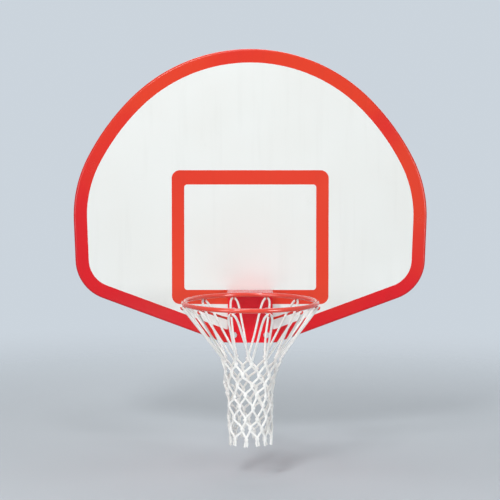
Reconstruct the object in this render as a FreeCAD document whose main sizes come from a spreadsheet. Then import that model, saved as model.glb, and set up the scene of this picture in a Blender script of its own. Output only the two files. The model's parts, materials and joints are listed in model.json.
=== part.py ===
"""Fan-shaped steel basketball backboard with a bolted ring goal and a knotted cord net.

Lengths are in millimetres and angles in degrees. +Z is up and the playing face looks along -Y.
The origin is the centre of the four rear mounting holes, in the rear plane of the mounting rails.
Each piece is drawn where it sits on the board, with X = 0 on the centre line, Y = 0 on the playing
face and Z = 0 at the foot of the board, and its Placement carries it from there to the origin.
"""
import FreeCAD, Part
import math
import os
from types import SimpleNamespace

import Sketcher
from FreeCAD import Placement, Rotation, Vector

DIMENSIONS = {
    # fan outline: crown, haunch and shoulder arcs, leaning sides, round corners, sloping foot
    "board_width": 1372.0,
    "board_height": 1140.0,
    "spring_height": 301.0,
    "arch_overrun": 47.0,
    "haunch_break": 45.0,
    "shoulder_share": 0.536,
    "side_lean": 2.1,
    "corner_radius": 160.0,
    "base_slope": 20.3,
    "base_flat": 208.0,
    # pressed steel pan
    "pan_depth": 38.0,
    "sheet_wall": 2.7,
    "edge_radius": 9.0,
    # rear frame; its insets give the mounting holes their pattern of 889 x 508
    "mount_inset": 241.5,
    "mount_hole": 13.5,
    "stand_off": 42.0,
    "rail_web": 64.0,
    "rail_flange": 22.0,
    "rail_wall": 3.0,
    "rail_top_gap": 33.367,
    "rail_foot_gap": 80.07,
    "rail_hole_end": 70.0,
    "channel_web": 50.0,
    "channel_flange": 20.0,
    "channel_depth": 30.0,
    "channel_bend": 3.0,
    # ring
    "ring_bore": 457.2,
    "rod_diameter": 15.9,
    "ring_gap": 152.4,
    "ring_height": 205.0,
    "weld_gap": 0.1,
    # goal plate and the plate behind the face
    "plate_width": 174.0,
    "plate_wall": 5.0,
    "plate_low": 1.0,
    "plate_bend": 6.0,
    "plate_corner": 8.0,
    "flange_reach": 149.0,
    "backing_margin": 22.0,
    "backing_wall": 6.0,
    # goal bolts
    "bolt_across": 127.0,
    "bolt_rise": 95.0,
    "bolt_height": 31.0,
    "bolt_diameter": 12.0,
    "bolt_hole": 13.0,
    "bolt_flats": 19.0,
    "bolt_head": 7.5,
    "bolt_spare": 4.0,
    "washer_diameter": 24.0,
    "washer_wall": 2.5,
    "lock_diameter": 21.0,
    "lock_wall": 3.0,
    "nut_height": 10.0,
    # braces
    "brace_diameter": 9.5,
    "brace_foot_height": 91.0,
    "brace_foot_inset": 9.0,
    "brace_angle": 92.0,
    # net hooks
    "hook_count": 12,
    "hook_wire": 5.0,
    "hook_radius": 7.0,
    "hook_stem": 3.0,
    "hook_tip": 3.0,
    "hook_rounding": 2.0,
    # net
    "net_cord": 7.5,
    "knot_size": 17.0,
    "net_rows": 8,
    "net_first_drop": 207.0,
    "net_row_drop": 39.0,
    "net_top_radius": 103.0,
    "net_end_radius": 74.0,
    "net_tail": 25.0,
    "cord_gap": 0.3,
}

# net form: sides of a cord, a knot's end width as a share of its middle, where a cord enters a knot
# as a share of the knot's size, and how far a tail end leans sideways as a share of its drop
CORD_SIDES = 6
KNOT_NECK = 0.5
STRAND_START = 0.32
TAIL_SPLAY = 0.45
# poles of a top loop, from its crest: share of the way down to the knots, and half the width there;
# the cord runs a little below its highest poles
LOOP_FORM = ((0.0, 5.0), (0.05, 12.5), (0.17, 17.5), (0.45, 19.5), (0.75, 22.5))
LOOP_SAG = 0.5


class Size:
    """A number that keeps the sheet formula it came from, so a shape and its tie are written once."""

    def __init__(self, value, text):
        self.value = value
        self.text = text

    def __add__(self, other):
        return join(self, "+", other)

    def __sub__(self, other):
        return join(self, "-", other)

    def __rsub__(self, other):
        return join(other, "-", self)

    def __mul__(self, other):
        return join(self, "*", other)

    def __rmul__(self, other):
        return join(other, "*", self)

    def __truediv__(self, other):
        return join(self, "/", other)

    def __neg__(self):
        return Size(-self.value, f"(-{self.text})")


def as_size(item):
    """Take a plain number as a size of its own."""
    if isinstance(item, Size):
        return item
    return Size(float(item), f"({float(item)})")


def join(left, sign, right):
    """Combine two sizes, in number and in formula."""
    left = as_size(left)
    right = as_size(right)
    results = {
        "+": lambda: left.value + right.value,
        "-": lambda: left.value - right.value,
        "*": lambda: left.value * right.value,
        "/": lambda: left.value / right.value,
    }
    return Size(results[sign](), f"({left.text} {sign} {right.text})")


def sine(angle):
    return Size(math.sin(math.radians(angle.value)), f"sin({angle.text})")


def cosine(angle):
    return Size(math.cos(math.radians(angle.value)), f"cos({angle.text})")


def tangent(angle):
    return Size(math.tan(math.radians(angle.value)), f"tan({angle.text})")


def root(square):
    return Size(math.sqrt(square.value), f"sqrt({square.text})")


doc = FreeCAD.newDocument("backboard")
sheet = doc.addObject("Spreadsheet::Sheet", "dims")
for row, (name, value) in enumerate(DIMENSIONS.items(), start=1):
    sheet.set(f"A{row}", name)
    sheet.set(f"B{row}", str(value))
    sheet.setAlias(f"B{row}", name)
doc.recompute()

# sizes with their formulas, and the same sizes as plain numbers
d = SimpleNamespace(**{name: Size(float(sheet.get(name)), f"dims.{name}") for name in DIMENSIONS})
n = SimpleNamespace(**{name: float(sheet.get(name)) for name in DIMENSIONS})
parts = []


def bind(item, path, formula):
    """Tie one property to the sheet."""
    item.setExpression(path, as_size(formula).text)


def place_on_board(item, across=0.0, forward=0.0, height=0.0):
    """Carry a piece drawn at its own origin to its spot on the board."""
    bind(item, "Placement.Base.x", as_size(across))
    bind(item, "Placement.Base.y", -d.stand_off - forward)
    bind(item, "Placement.Base.z", as_size(height) - mount_height())


def new_body(label):
    """Start one sub-part in the board's place."""
    body = doc.addObject("PartDesign::Body", label)
    body.Label = label
    place_on_board(body)
    parts.append(body)
    return body


def new_sketch(body, title, plane, offset=None):
    """Start a sketch on one of the body's own planes, moved along that plane's normal."""
    sketch = body.newObject("Sketcher::SketchObject", title)
    support = next(item for item in body.Origin.OriginFeatures if item.Role == plane)
    sketch.AttachmentSupport = [(support, "")]
    sketch.MapMode = "FlatFace"
    if offset is not None:
        bind(sketch, "AttachmentOffset.Base.z", offset)
    return sketch


def measure(sketch, kind, formula, *where):
    """Add one dimension to a sketch and tie it to the sheet."""
    formula = as_size(formula)
    value = math.radians(formula.value) if kind == "Angle" else formula.value
    number = sketch.addConstraint(Sketcher.Constraint(kind, *where, value))
    title = f"size_{number}"
    sketch.renameConstraint(number, title)
    bind(sketch, f"Constraints.{title}", formula)


def fix_point(sketch, line, end, across, along):
    """Hold one point of a sketch at tied distances from the sketch's origin."""
    measure(sketch, "DistanceX", across, -1, 1, line, end)
    measure(sketch, "DistanceY", along, -1, 1, line, end)


def polygon(sketch, points):
    """Draw a closed run of straight lines, each corner tied to the sheet."""
    corners = [(as_size(across), as_size(along)) for across, along in points]
    spots = [Vector(across.value, along.value, 0) for across, along in corners]
    lines = []
    for start, end in zip(spots, spots[1:] + spots[:1]):
        lines.append(sketch.addGeometry(Part.LineSegment(start, end), False))
    for line, following in zip(lines, lines[1:] + lines[:1]):
        sketch.addConstraint(Sketcher.Constraint("Coincident", line, 2, following, 1))
    for line, (across, along) in zip(lines, corners):
        fix_point(sketch, line, 1, across, along)


def circle(sketch, across, along, diameter):
    """Draw one circle, tied to the sheet."""
    across = as_size(across)
    along = as_size(along)
    middle = Vector(across.value, along.value, 0)
    shape = Part.Circle(middle, Vector(0, 0, 1), diameter.value / 2)
    number = sketch.addGeometry(shape, False)
    fix_point(sketch, number, 3, across, along)
    measure(sketch, "Diameter", diameter, number)


def hexagon(sketch, across, along, flats):
    """Draw one hexagon with its flats at the sides."""
    reach = flats / 3 ** 0.5
    corners = []
    for turn in range(30, 390, 60):
        spoke = math.radians(turn)
        corners.append((across + reach * math.cos(spoke), along + reach * math.sin(spoke)))
    polygon(sketch, corners)


def pad(body, title, sketch, length, backward=False, both_ways=False):
    """Raise a sketch into a solid."""
    feature = body.newObject("PartDesign::Pad", title)
    feature.Profile = sketch
    feature.Reversed = backward
    feature.SideType = "Symmetric" if both_ways else "One side"
    bind(feature, "Length", length)
    doc.recompute()
    return feature


def pocket(body, title, sketch, depth):
    """Cut a sketch into the solid, against the sketch's normal."""
    before = body.Shape.Volume
    feature = body.newObject("PartDesign::Pocket", title)
    feature.Profile = sketch
    bind(feature, "Length", depth)
    doc.recompute()
    if feature.Shape.Volume > before - 1.0:
        raise RuntimeError(f"{body.Label}: {title} cuts nothing")
    return feature


def edges_at(feature, axes, spots, slack=0.01):
    """Name the edges that stay at one of the spots, which are given in the two named axes."""
    names = []
    for number, edge in enumerate(feature.Shape.Edges, start=1):
        for spot in spots:
            offsets = []
            for corner in edge.Vertexes:
                offsets += [abs(getattr(corner.Point, axis) - place) for axis, place in zip(axes, spot)]
            if max(offsets) < slack:
                names.append(f"Edge{number}")
    return names


def round_edges(body, title, base, radius, axes, spots):
    """Round the edges that lie at the spots."""
    feature = body.newObject("PartDesign::Fillet", title)
    feature.Base = (base, edges_at(base, axes, spots))
    bind(feature, "Radius", radius)
    doc.recompute()
    return feature


def arch_radii():
    """Radii of the crown and haunch arcs of a four-centred arch of the board's width and rise."""
    half = d.board_width / 2 + d.arch_overrun
    rise = d.board_height - d.spring_height
    sin_break = sine(d.haunch_break)
    cos_break = cosine(d.haunch_break)
    share = sin_break + cos_break - 1
    crown = (half * cos_break - rise * (1 - sin_break)) / share
    haunch = (rise * sin_break - half * (1 - cos_break)) / share
    return crown, haunch


def fan_outline(sketch, inset):
    """Draw the fan outline, set in from the board's edge, as arcs and lines that run into one another."""
    crown, haunch = arch_radii()
    shoulder_radius = haunch * d.shoulder_share
    crown_z = d.board_height - crown
    haunch_x = (crown - haunch) * sine(d.haunch_break)
    haunch_z = crown_z + (crown - haunch) * cosine(d.haunch_break)
    shoulder_x = d.board_width / 2 - shoulder_radius
    shoulder_reach = haunch - shoulder_radius
    shoulder_side = shoulder_x - haunch_x
    shoulder_z = haunch_z + root(shoulder_reach * shoulder_reach - shoulder_side * shoulder_side)
    half_flat = d.base_flat / 2 - inset * tangent(d.base_slope / 2)

    # the corner arc touches the leaning side and the sloping foot
    lean = math.radians(n.side_lean)
    slope = math.radians(n.base_slope)
    out_of_side = Vector(math.cos(lean), -math.sin(lean), 0)
    into_foot = Vector(-math.sin(slope), math.cos(slope), 0)
    shoulder_middle = Vector(shoulder_x.value, shoulder_z.value, 0)
    side_reach = out_of_side.dot(shoulder_middle) + shoulder_radius.value - n.corner_radius
    foot_reach = into_foot.dot(Vector(n.base_flat / 2, 0, 0)) + n.corner_radius
    share = out_of_side.x * into_foot.y - out_of_side.y * into_foot.x
    corner_middle = Vector(
        (side_reach * into_foot.y - foot_reach * out_of_side.y) / share,
        (foot_reach * out_of_side.x - side_reach * into_foot.x) / share,
        0,
    )
    haunch_middle = Vector(haunch_x.value, haunch_z.value, 0)
    rise_of_centres = shoulder_middle - haunch_middle
    blend = math.atan2(rise_of_centres.y, rise_of_centres.x)
    break_angle = math.radians(90 - n.haunch_break)
    quarter = math.pi / 2

    def arc(middle, radius, start, end):
        ring = Part.Circle(middle, Vector(0, 0, 1), radius.value)
        return Part.ArcOfCircle(ring, start, end)

    def mirrored(point):
        return Vector(-point.x, point.y, 0)

    foot_end = Vector(half_flat.value, inset.value, 0)
    corner_r = d.corner_radius - inset
    shoulder_r = shoulder_radius - inset
    haunch_r = haunch - inset
    crown_r = crown - inset
    corner_low = corner_middle - into_foot * corner_r.value
    corner_high = corner_middle + out_of_side * corner_r.value
    shoulder_low = shoulder_middle + out_of_side * shoulder_r.value
    geometry = [
        Part.LineSegment(mirrored(foot_end), foot_end),
        Part.LineSegment(foot_end, corner_low),
        arc(corner_middle, corner_r, slope - quarter, -lean),
        Part.LineSegment(corner_high, shoulder_low),
        arc(shoulder_middle, shoulder_r, -lean, blend),
        arc(haunch_middle, haunch_r, blend, break_angle),
        arc(Vector(0, crown_z.value, 0), crown_r, break_angle, math.pi - break_angle),
        arc(mirrored(haunch_middle), haunch_r, math.pi - break_angle, math.pi - blend),
        arc(mirrored(shoulder_middle), shoulder_r, math.pi - blend, math.pi + lean),
        Part.LineSegment(mirrored(shoulder_low), mirrored(corner_high)),
        arc(mirrored(corner_middle), corner_r, math.pi + lean, 3 * quarter - slope),
        Part.LineSegment(mirrored(corner_low), mirrored(foot_end)),
    ]
    sketch.addGeometry(geometry, False)
    last = len(geometry) - 1
    for number in range(last + 1):
        following = (number + 1) % (last + 1)
        kind = "Coincident" if number in (0, last) else "Tangent"
        sketch.addConstraint(Sketcher.Constraint(kind, number, 2, following, 1))
    foot, crown_arc = 0, 6
    sketch.addConstraint(Sketcher.Constraint("Horizontal", foot))
    measure(sketch, "DistanceY", inset, -1, 1, foot, 1)
    measure(sketch, "DistanceX", -half_flat, -1, 1, foot, 1)
    measure(sketch, "DistanceX", half_flat, -1, 1, foot, 2)
    sketch.addConstraint(Sketcher.Constraint("PointOnObject", crown_arc, 3, -2))
    measure(sketch, "DistanceY", crown_z, -1, 1, crown_arc, 3)
    measure(sketch, "Radius", crown_r, crown_arc)
    halves = ((1, 1, 2, 3, 4, 5), (-1, 11, 10, 9, 8, 7))
    for side, sloped, corner, upright, shoulder, haunch_arc in halves:
        measure(sketch, "Angle", side * d.base_slope, sloped)
        measure(sketch, "Radius", corner_r, corner)
        measure(sketch, "Angle", side * (90 - d.side_lean), upright)
        measure(sketch, "Radius", shoulder_r, shoulder)
        measure(sketch, "DistanceX", side * shoulder_x, -1, 1, shoulder, 3)
        measure(sketch, "Radius", haunch_r, haunch_arc)
        measure(sketch, "DistanceX", side * haunch_x, -1, 1, haunch_arc, 3)


def bolt_places():
    """The four goal bolts, as distances across and up the board."""
    places = []
    for side in (-0.5, 0.5):
        for level in (0, 1):
            places.append((side * d.bolt_across, d.bolt_height + level * d.bolt_rise))
    return places


def mount_across():
    """From the left mounting holes to the right ones."""
    return d.board_width - 2 * d.mount_inset


def rail_ends():
    """Foot and top of a mounting rail, set in from the pan's rim at the rail's outer edge."""
    crown, _ = arch_radii()
    outer_edge = mount_across() / 2 + d.rail_web / 2 + d.rail_flange
    crown_inside = crown - d.sheet_wall
    crown_rise = root(crown_inside * crown_inside - outer_edge * outer_edge)
    foot_rise = (outer_edge - d.base_flat / 2) * tangent(d.base_slope)
    return foot_rise + d.rail_foot_gap, d.board_height - crown + crown_rise - d.rail_top_gap


def mount_levels():
    """Heights of the lower and the upper mounting holes."""
    foot, top = rail_ends()
    return foot + d.rail_hole_end, top - d.rail_hole_end


def mount_height():
    """Height of the middle of the mounting holes."""
    low, high = mount_levels()
    return (low + high) / 2


def mount_places():
    """The four rear mounting holes."""
    places = []
    for side in (-0.5, 0.5):
        for level in mount_levels():
            places.append((side * mount_across(), level))
    return places


def make_face_panel():
    """The pressed pan: a flat face, a rolled front edge and a rim turned back all round."""
    body = new_body("face_panel")
    outside = new_sketch(body, "fan", "XZ_Plane")
    fan_outline(outside, as_size(0))
    pan = pad(body, "pan", outside, d.pan_depth, backward=True)
    front = [f"Edge{i}" for i, edge in enumerate(pan.Shape.Edges, 1) if edge.BoundBox.YMax < 0.01]
    rolled = body.newObject("PartDesign::Fillet", "rolled_edge")
    rolled.Base = (pan, front)
    bind(rolled, "Radius", d.edge_radius)
    doc.recompute()
    inside = new_sketch(body, "inside", "XZ_Plane", -d.sheet_wall)
    fan_outline(inside, d.sheet_wall)
    hollow = pocket(body, "hollow", inside, d.pan_depth)
    floor = []
    for number, edge in enumerate(hollow.Shape.Edges, start=1):
        box = edge.BoundBox
        if abs(box.YMin - n.sheet_wall) < 0.01 and abs(box.YMax - n.sheet_wall) < 0.01:
            floor.append(f"Edge{number}")
    inner_bend = body.newObject("PartDesign::Fillet", "inner_bend")
    inner_bend.Base = (hollow, floor)
    bind(inner_bend, "Radius", d.edge_radius - d.sheet_wall)
    doc.recompute()
    holes = new_sketch(body, "goal_holes", "XZ_Plane")
    for across, height in bolt_places():
        circle(holes, across, height, d.bolt_hole)
    pocket(body, "drilled", holes, d.pan_depth)


def hat_section(middle, web, flange, wall, low, high):
    """Corners of a hat channel: feet on the face at low, web at high."""
    half = web / 2
    foot = low + wall
    return [
        (middle - half - flange, low),
        (middle - half + wall, low),
        (middle - half + wall, high - wall),
        (middle + half - wall, high - wall),
        (middle + half - wall, low),
        (middle + half + flange, low),
        (middle + half + flange, foot),
        (middle + half, foot),
        (middle + half, high),
        (middle - half, high),
        (middle - half, foot),
        (middle - half - flange, foot),
    ]


def bend_hat(body, base, axis, middle, web, wall, low, high):
    """Give a hat channel its bend radii."""
    axes = (axis, "y")
    left = (middle - web / 2).value
    right = (middle + web / 2).value
    thick = wall.value
    outer = round_edges(body, "outer_bends", base, d.channel_bend + wall, axes,
                        [(left, high.value), (right, high.value)])
    round_edges(body, "inner_bends", outer, d.channel_bend, axes, [
        (left + thick, high.value - thick),
        (right - thick, high.value - thick),
        (left, low.value + thick),
        (right, low.value + thick),
    ])


def make_mount_rail(label, side):
    """An upright hat rail with its two mounting holes."""
    body = new_body(label)
    middle = side * mount_across() / 2
    foot, top = rail_ends()
    section = new_sketch(body, "section", "XY_Plane", foot)
    polygon(section, hat_section(middle, d.rail_web, d.rail_flange, d.rail_wall, d.sheet_wall, d.stand_off))
    rail = pad(body, "rail", section, top - foot)
    bend_hat(body, rail, "x", middle, d.rail_web, d.rail_wall, d.sheet_wall, d.stand_off)
    holes = new_sketch(body, "mount_holes", "XZ_Plane", -(d.stand_off - 2 * d.rail_wall))
    for across, height in mount_places():
        if across.value * side > 0:
            circle(holes, across, height, d.mount_hole)
    pocket(body, "drilled", holes, 3 * d.rail_wall)


def make_cross_channel(label, middle):
    """A level hat channel between the rails; its ends are coped to pass over the rails' flanges."""
    body = new_body(label)
    back = d.sheet_wall + d.channel_depth
    between_webs = mount_across() - d.rail_web
    section = new_sketch(body, "section", "YZ_Plane")
    corners = hat_section(middle, d.channel_web, d.channel_flange, d.rail_wall, d.sheet_wall, back)
    polygon(section, [(depth, height) for height, depth in corners])
    pad(body, "flanged", section, between_webs - 2 * d.rail_flange, both_ways=True)
    trough = new_sketch(body, "trough", "YZ_Plane")
    half = d.channel_web / 2
    wall = d.rail_wall
    over_flange = d.sheet_wall + wall + 2 * d.channel_bend
    polygon(trough, [
        (over_flange, middle - half),
        (back, middle - half),
        (back, middle + half),
        (over_flange, middle + half),
        (over_flange, middle + half - wall),
        (back - wall, middle + half - wall),
        (back - wall, middle - half + wall),
        (over_flange, middle - half + wall),
    ])
    channel = pad(body, "coped", trough, between_webs, both_ways=True)
    bend_hat(body, channel, "z", middle, d.channel_web, wall, d.sheet_wall, back)


def make_goal_support_channel():
    """A short upright hat channel from the backing plate to the lower cross channel."""
    body = new_body("goal_support_channel")
    foot = d.bolt_height + d.bolt_rise + d.backing_margin
    top = mount_levels()[0] - d.channel_web / 2 - d.channel_flange
    back = d.sheet_wall + d.channel_depth
    section = new_sketch(body, "section", "XY_Plane", foot)
    middle = as_size(0)
    polygon(section, hat_section(middle, d.channel_web, d.channel_flange, d.rail_wall, d.sheet_wall, back))
    channel = pad(body, "channel", section, top - foot)
    bend_hat(body, channel, "x", middle, d.channel_web, d.rail_wall, d.sheet_wall, back)


def make_goal_backing_plate():
    """The thick plate behind the face that the goal bolts clamp."""
    body = new_body("goal_backing_plate")
    half = d.bolt_across / 2 + d.backing_margin
    low = d.bolt_height - d.backing_margin
    high = d.bolt_height + d.bolt_rise + d.backing_margin
    outline = new_sketch(body, "outline", "XZ_Plane", -d.sheet_wall)
    polygon(outline, [(-half, low), (half, low), (half, high), (-half, high)])
    pad(body, "plate", outline, d.backing_wall, backward=True)
    holes = new_sketch(body, "bolt_holes", "XZ_Plane", -d.sheet_wall)
    for across, height in bolt_places():
        circle(holes, across, height, d.bolt_hole)
    pocket(body, "drilled", holes, 2 * d.backing_wall)


def ring_distance():
    """From the playing face to the middle of the ring."""
    return d.ring_gap + d.ring_bore / 2


def make_goal_plate():
    """One plate bent to an L: an upright leg on the face and a flange forward to the ring."""
    body = new_body("goal_plate")
    top = d.ring_height + d.plate_wall / 2
    under = top - d.plate_wall
    half = d.plate_width / 2
    profile = new_sketch(body, "bend_profile", "YZ_Plane")
    polygon(profile, [
        (0, d.plate_low),
        (0, top),
        (-d.flange_reach, top),
        (-d.flange_reach, under),
        (-d.plate_wall, under),
        (-d.plate_wall, d.plate_low),
    ])
    plate = pad(body, "plate", profile, d.plate_width, both_ways=True)
    outer = round_edges(body, "outer_bend", plate, d.plate_bend + d.plate_wall, ("y", "z"), [(0, top.value)])
    inner = round_edges(body, "inner_bend", outer, d.plate_bend, ("y", "z"),
                        [(-n.plate_wall, under.value)])
    round_edges(body, "foot_corners", inner, d.plate_corner, ("x", "z"),
                [(-half.value, n.plate_low), (half.value, n.plate_low)])
    seat = new_sketch(body, "ring_seat", "XY_Plane", top)
    circle(seat, 0, -ring_distance(), d.ring_bore + 2 * d.rod_diameter + 2 * d.weld_gap)
    pocket(body, "seat_for_ring", seat, 2 * d.plate_wall)
    holes = new_sketch(body, "bolt_holes", "XZ_Plane", d.plate_wall)
    for across, height in bolt_places():
        circle(holes, across, height, d.bolt_hole)
    pocket(body, "drilled", holes, 2 * d.plate_wall)


def make_torus(label, rod_radius):
    """A round bar bent to the ring's circle."""
    torus = doc.addObject("Part::Torus", label)
    torus.Label = label
    bind(torus, "Radius1", d.ring_bore / 2 + d.rod_diameter / 2)
    bind(torus, "Radius2", rod_radius)
    place_on_board(torus, 0, ring_distance(), d.ring_height)
    return torus


def make_ring():
    """The ring itself."""
    parts.append(make_torus("ring", d.rod_diameter / 2))


def make_brace(label, side, ring_clear, plate_clear):
    """A straight round bar from the plate's front to the underside of the ring, cut to fit both."""
    angle = d.brace_angle
    ring_radius = d.ring_bore / 2 + d.rod_diameter / 2
    foot_x = d.plate_width / 2 - d.brace_foot_inset
    run_x = ring_radius * sine(angle) - foot_x
    run_y = ring_distance() - ring_radius * cosine(angle)
    run_z = d.ring_height - d.rod_diameter / 2 - d.brace_foot_height
    bar = doc.addObject("Part::Cylinder", f"{label}_bar")
    bind(bar, "Radius", d.brace_diameter / 2)
    bind(bar, "Height", root(run_x * run_x + run_y * run_y + run_z * run_z))
    heading = Vector(side * run_x.value, -run_y.value, run_z.value)
    bar.Placement = Placement(Vector(), Rotation(Vector(0, 0, 1), heading))
    place_on_board(bar, side * foot_x, 0, d.brace_foot_height)
    off_ring = doc.addObject("Part::Cut", f"{label}_off_ring")
    off_ring.Base = bar
    off_ring.Tool = ring_clear
    brace = doc.addObject("Part::Cut", label)
    brace.Label = label
    brace.Base = off_ring
    brace.Tool = plate_clear
    parts.append(brace)


def make_braces():
    """Both braces, with the clear space that they leave for the ring's bar and the plate."""
    ring_clear = make_torus("ring_clear", d.rod_diameter / 2 + d.weld_gap)
    plate_clear = doc.addObject("Part::Box", "plate_clear")
    bind(plate_clear, "Length", 2 * d.plate_width)
    bind(plate_clear, "Width", d.stand_off + d.plate_wall)
    bind(plate_clear, "Height", 2 * d.ring_height)
    place_on_board(plate_clear, -d.plate_width, d.plate_wall, 0)
    make_brace("left_brace", -1, ring_clear, plate_clear)
    make_brace("right_brace", 1, ring_clear, plate_clear)


def hook_trough():
    """Height of the middle of a hook's bend, below the ring's mid-plane."""
    return d.rod_diameter / 2 + d.weld_gap + d.hook_stem


def make_hook(label, turn):
    """A J of wire: its stem meets the underside of the ring and its tip turns up outside."""
    body = doc.addObject("PartDesign::Body", label)
    body.Label = label
    spoke = Rotation(Vector(0, 0, 1), turn)
    radius = d.ring_bore / 2 + d.rod_diameter / 2
    body.Placement = Placement(Vector(), spoke)
    turn = as_size(turn)
    place_on_board(body, radius * cosine(turn), ring_distance() - radius * sine(turn), d.ring_height)
    start = -(d.rod_diameter / 2 + d.weld_gap)
    bend = -hook_trough()
    path = new_sketch(body, "path", "XZ_Plane")
    path.addGeometry(Part.LineSegment(Vector(0, start.value, 0), Vector(0, bend.value, 0)), False)
    bend_circle = Part.Circle(Vector(n.hook_radius, bend.value, 0), Vector(0, 0, 1), n.hook_radius)
    path.addGeometry(Part.ArcOfCircle(bend_circle, math.pi, 2 * math.pi), False)
    tip = bend + d.hook_tip
    tip_x = 2 * d.hook_radius
    tip_low = Vector(tip_x.value, bend.value, 0)
    tip_high = Vector(tip_x.value, tip.value, 0)
    path.addGeometry(Part.LineSegment(tip_low, tip_high), False)
    path.addConstraint(Sketcher.Constraint("Coincident", 0, 2, 1, 1))
    path.addConstraint(Sketcher.Constraint("Coincident", 1, 2, 2, 1))
    fix_point(path, 0, 1, 0, start)
    fix_point(path, 1, 1, 0, bend)
    fix_point(path, 2, 1, tip_x, bend)
    fix_point(path, 2, 2, tip_x, tip)
    measure(path, "DistanceY", bend, -1, 1, 1, 3)
    profile = new_sketch(body, "wire", "XY_Plane", start)
    circle(profile, 0, 0, d.hook_wire)
    doc.recompute()
    wire = body.newObject("PartDesign::AdditivePipe", "bent_wire")
    wire.Profile = profile
    wire.Spine = (path, ["Edge1", "Edge2", "Edge3"])
    doc.recompute()
    end = []
    for number, edge in enumerate(wire.Shape.Edges, start=1):
        box = edge.BoundBox
        at_tip = abs(box.ZMin - tip.value) < 0.01 and abs(box.ZMax - tip.value) < 0.01
        if at_tip and box.XMin > n.hook_radius:
            end.append(f"Edge{number}")
    rounded = body.newObject("PartDesign::Fillet", "rounded_tip")
    rounded.Base = (wire, end)
    bind(rounded, "Radius", d.hook_rounding)
    doc.recompute()
    parts.append(body)


def hook_turns():
    """Directions of the hooks round the ring."""
    step = 360.0 / n.hook_count
    return [step * (number + 0.5) for number in range(int(n.hook_count))]


def make_net_hooks():
    """The hooks under the ring, one node each."""
    for number, turn in enumerate(hook_turns(), start=1):
        make_hook(f"net_hook_{number:02d}", turn)


def make_fasteners():
    """Bolts, washers and nuts of the goal, and the weld nuts inside the rails."""
    face_of_plate = d.plate_wall
    behind_washer = d.sheet_wall + d.backing_wall + d.washer_wall
    behind_lock = behind_washer + d.lock_wall
    bolt_end = behind_lock + d.nut_height + d.bolt_spare

    bolts = new_body("goal_bolts")
    heads = new_sketch(bolts, "heads", "XZ_Plane", face_of_plate + d.washer_wall)
    shanks = new_sketch(bolts, "shanks", "XZ_Plane", face_of_plate + d.washer_wall)
    for across, height in bolt_places():
        hexagon(heads, across, height, d.bolt_flats)
        circle(shanks, across, height, d.bolt_diameter)
    pad(bolts, "head", heads, d.bolt_head)
    pad(bolts, "shank", shanks, face_of_plate + d.washer_wall + bolt_end, backward=True)

    def rings(label, start, wall, diameter):
        body = new_body(label)
        outline = new_sketch(body, "outline", "XZ_Plane", -start)
        for across, height in bolt_places():
            circle(outline, across, height, diameter)
            circle(outline, across, height, d.bolt_hole)
        pad(body, "washer", outline, wall, backward=True)

    rings("goal_front_washers", -(face_of_plate + d.washer_wall), d.washer_wall, d.washer_diameter)
    rings("goal_rear_washers", d.sheet_wall + d.backing_wall, d.washer_wall, d.washer_diameter)
    rings("goal_lock_washers", behind_washer, d.lock_wall, d.lock_diameter)

    def nuts(label, places, start, bore):
        body = new_body(label)
        outline = new_sketch(body, "outline", "XZ_Plane", -start)
        for across, height in places:
            hexagon(outline, across, height, d.bolt_flats)
            circle(outline, across, height, bore)
        pad(body, "nut", outline, d.nut_height, backward=True)

    nuts("goal_nuts", bolt_places(), behind_lock, d.bolt_hole)
    nuts("mount_nuts", mount_places(), d.stand_off - d.rail_wall - d.nut_height, d.mount_hole)


def solid_of(rings):
    """A closed solid with flat faces through rings of points, one after the other."""
    faces = [Part.Face(Part.makePolygon(ring + ring[:1])) for ring in (rings[0], rings[-1])]
    for low, high in zip(rings, rings[1:]):
        for start in range(len(low)):
            end = (start + 1) % len(low)
            loop = [low[start], low[end], high[end], high[start], low[start]]
            faces.append(Part.Face(Part.makePolygon(loop)))
    return Part.makeSolid(Part.makeShell(faces))


def ring_of_points(middle, side, other, radius):
    """Evenly spaced points round a middle, in the plane of two directions."""
    points = []
    for number in range(CORD_SIDES):
        turn = 2 * math.pi * (number + 0.5) / CORD_SIDES
        points.append(middle + side * (radius * math.cos(turn)) + other * (radius * math.sin(turn)))
    return points


def cord(start, end):
    """A straight length of cord with six flat sides."""
    run = end - start
    run.normalize()
    side = run.cross(Vector(0, 0, 1))
    side.normalize()
    other = run.cross(side)
    return solid_of([ring_of_points(spot, side, other, n.net_cord / 2) for spot in (start, end)])


def knot(middle):
    """A knot: a barrel with six sides."""
    half = n.knot_size / 2
    levels = ((-half, KNOT_NECK * half), (0, half), (half, KNOT_NECK * half))
    rings = []
    for height, radius in levels:
        centre = middle + Vector(0, 0, height)
        rings.append(ring_of_points(centre, Vector(1, 0, 0), Vector(0, 1, 0), radius))
    return solid_of(rings)


def knot_row(row):
    """Middles of the knots in one row, from the ring's middle; odd rows stand half a step round."""
    count = int(n.hook_count)
    share = 1 - row / max(n.net_rows - 1, 1)
    radius = n.net_end_radius + (n.net_top_radius - n.net_end_radius) * share ** 2
    height = -n.net_first_drop - row * n.net_row_drop
    spots = []
    for number in range(count):
        turn = 2 * math.pi * (number + 0.5 * (row % 2)) / count
        spots.append(Vector(radius * math.cos(turn), radius * math.sin(turn), height))
    return spots


def ring_middle():
    """The ring's middle, where the net is drawn."""
    return Vector(0, -n.stand_off - ring_distance().value, n.ring_height - mount_height().value)


def add_net_piece(label, shape):
    """Hang one piece of the net in the ring."""
    piece = doc.addObject("Part::Feature", label)
    piece.Label = label
    piece.Shape = shape
    piece.Placement = Placement(ring_middle(), Rotation())
    parts.append(piece)


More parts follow.
